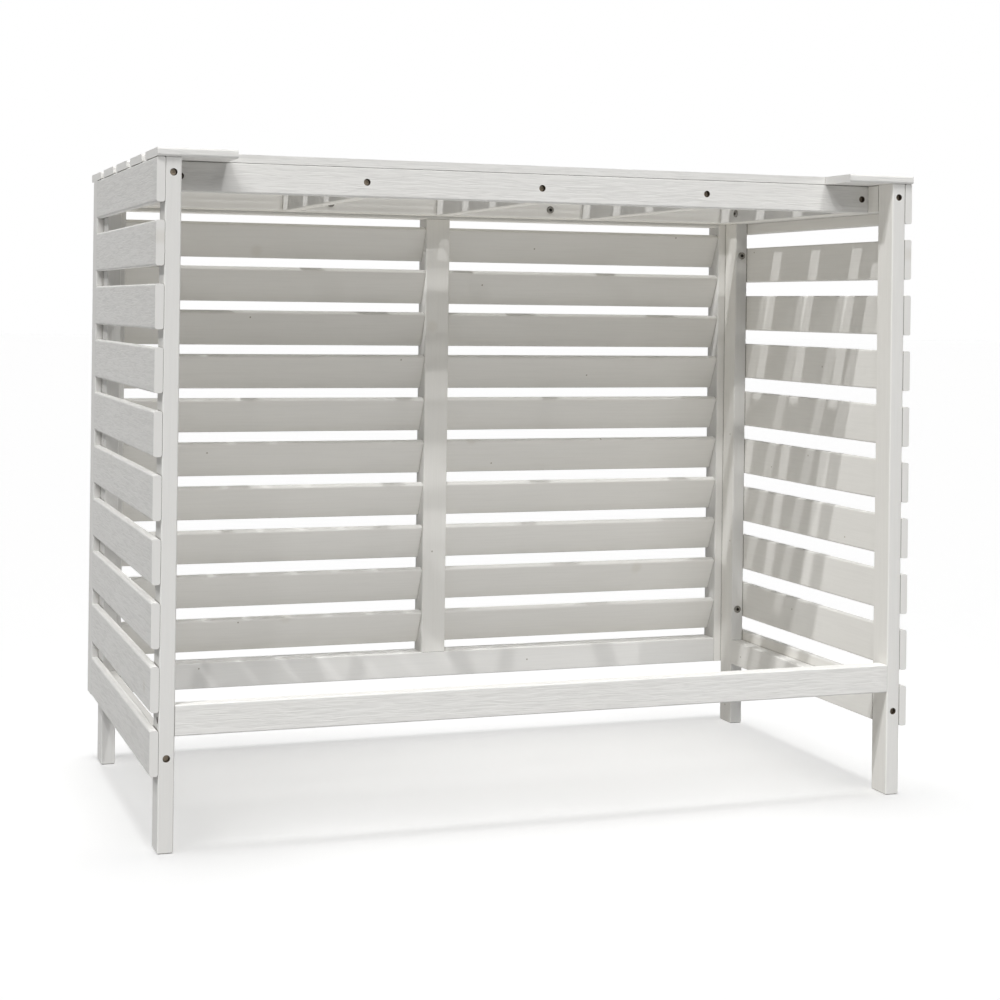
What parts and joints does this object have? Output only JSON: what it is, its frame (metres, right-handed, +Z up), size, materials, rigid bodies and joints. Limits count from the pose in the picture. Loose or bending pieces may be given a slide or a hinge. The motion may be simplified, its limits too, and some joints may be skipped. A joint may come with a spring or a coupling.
{
  "type": "air conditioner screen",
  "caption": "Open-backed timber screen with boarded sides, a louvred front and a slatted lid on posts, for standing over an outdoor air conditioner.",
  "frame": {"origin": "on the floor, in the middle of the whole width and depth", "axes": "+X to the right seen from the open back, along the width; +Y to the louvred front; +Z up"},
  "size_m": [1.1, 0.595, 0.897],
  "materials": {
    "white_timber": "opaque white paint over brushed grain, satin",
    "screw_steel": "dark coated steel, sunk in the wood",
    "bolt_steel": "bright zinc plate"
  },
  "bodies": {
    "root": {"centre_stile": "white_timber", "left_board_01": "white_timber", "left_board_02": "white_timber", "left_board_03": "white_timber", "left_board_04": "white_timber", "left_board_05": "white_timber", "left_board_06": "white_timber", "left_board_07": "white_timber", "left_board_08": "white_timber", "left_board_09": "white_timber", "left_board_10": "white_timber", "left_front_post": "white_timber", "left_high_rail": "white_timber", "left_low_rail": "white_timber", "left_rear_post": "white_timber", "left_stile": "white_timber", "lid_board_1": "white_timber", "lid_board_2": "white_timber", "lid_board_3": "white_timber", "lid_board_4": "white_timber", "lid_board_5": "white_timber", "lid_bolts": "bolt_steel", "lid_front_rail": "white_timber", "lid_member_1": "white_timber", "lid_member_2": "white_timber", "lid_member_3": "white_timber", "lid_member_4": "white_timber", "lid_member_5": "white_timber", "lid_rear_rail": "white_timber", "lid_screws": "screw_steel", "louvres_01": "white_timber", "louvres_02": "white_timber", "louvres_03": "white_timber", "louvres_04": "white_timber", "louvres_05": "white_timber", "louvres_06": "white_timber", "louvres_07": "white_timber", "louvres_08": "white_timber", "louvres_09": "white_timber", "louvres_10": "white_timber", "panel_bolts": "bolt_steel", "panel_bottom_rail": "white_timber", "panel_top_rail": "white_timber", "post_screws": "screw_steel", "rear_rail": "white_timber", "right_board_01": "white_timber", "right_board_02": "white_timber", "right_board_03": "white_timber", "right_board_04": "white_timber", "right_board_05": "white_timber", "right_board_06": "white_timber", "right_board_07": "white_timber", "right_board_08": "white_timber", "right_board_09": "white_timber", "right_board_10": "white_timber", "right_front_post": "white_timber", "right_high_rail": "white_timber", "right_low_rail": "white_timber", "right_rear_post": "white_timber", "right_stile": "white_timber"}
  },
  "joints": []
}
